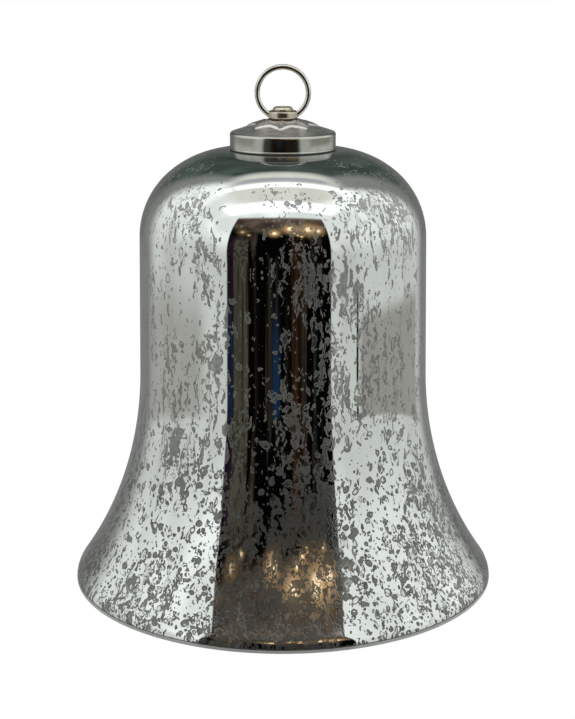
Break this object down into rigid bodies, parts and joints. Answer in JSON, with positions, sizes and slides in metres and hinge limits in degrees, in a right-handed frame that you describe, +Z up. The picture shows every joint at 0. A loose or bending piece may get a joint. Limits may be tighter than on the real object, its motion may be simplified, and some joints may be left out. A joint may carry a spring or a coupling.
{
  "type": "mercury glass bell ornament",
  "caption": "Large silvered-glass bell with a stamped metal cap, a folding hanging ring and a clapper hung from an eye and link inside.",
  "frame": {"origin": "centre of the rim, on the plane that the bell stands on", "axes": "+Z up along the bell's axis; the ring's hinge runs along X, so its loop opens along Y"},
  "size_m": [0.165, 0.165, 0.2],
  "materials": {
    "glass": "clear blown glass",
    "silvering": "silvered from inside and distressed with grey spots and runs",
    "nickel_sheet": "polished nickel plate on stamped sheet",
    "nickel_turned": "polished nickel plate, slightly warm",
    "bright_wire": "bright plated wire",
    "zinc_steel": "zinc plated",
    "clapper_metal": "polished",
    "black_rubber": "matte",
    "dark_fibre": "matte fibre"
  },
  "bodies": {
    "bell": {"glass_bell": "glass", "silver_lining": "silvering", "cap_gasket": "black_rubber", "cap": "nickel_sheet", "boss_washer": "dark_fibre", "boss": "nickel_turned", "cap_screw": "nickel_turned", "inner_gasket": "black_rubber", "inner_washer": "zinc_steel", "lock_washer": "zinc_steel", "clamp_nut": "zinc_steel", "eye_nut": "zinc_steel"},
    "ring": {"hanging_ring": "bright_wire"},
    "link": {"clapper_link": "bright_wire"},
    "clapper": {"clapper_rod": "bright_wire", "clapper_collar": "zinc_steel", "clapper_ball": "clapper_metal", "clapper_nut": "nickel_turned"}
  },
  "joints": [
    {"name": "ring_fold", "type": "hinge", "parent": "bell", "child": "ring", "pos_m": [0, 0, 0.18138], "axis": [1, 0, 0], "range_deg": [-104, 104]},
    {"name": "link_swing", "type": "hinge", "parent": "bell", "child": "link", "pos_m": [0, 0, 0.14852], "axis": [1, 0, 0], "range_deg": [-17, 17]},
    {"name": "clapper_swing", "type": "hinge", "parent": "link", "child": "clapper", "pos_m": [0, 0, 0.14302], "axis": [0, 1, 0], "range_deg": [-17, 17]}
  ]
}
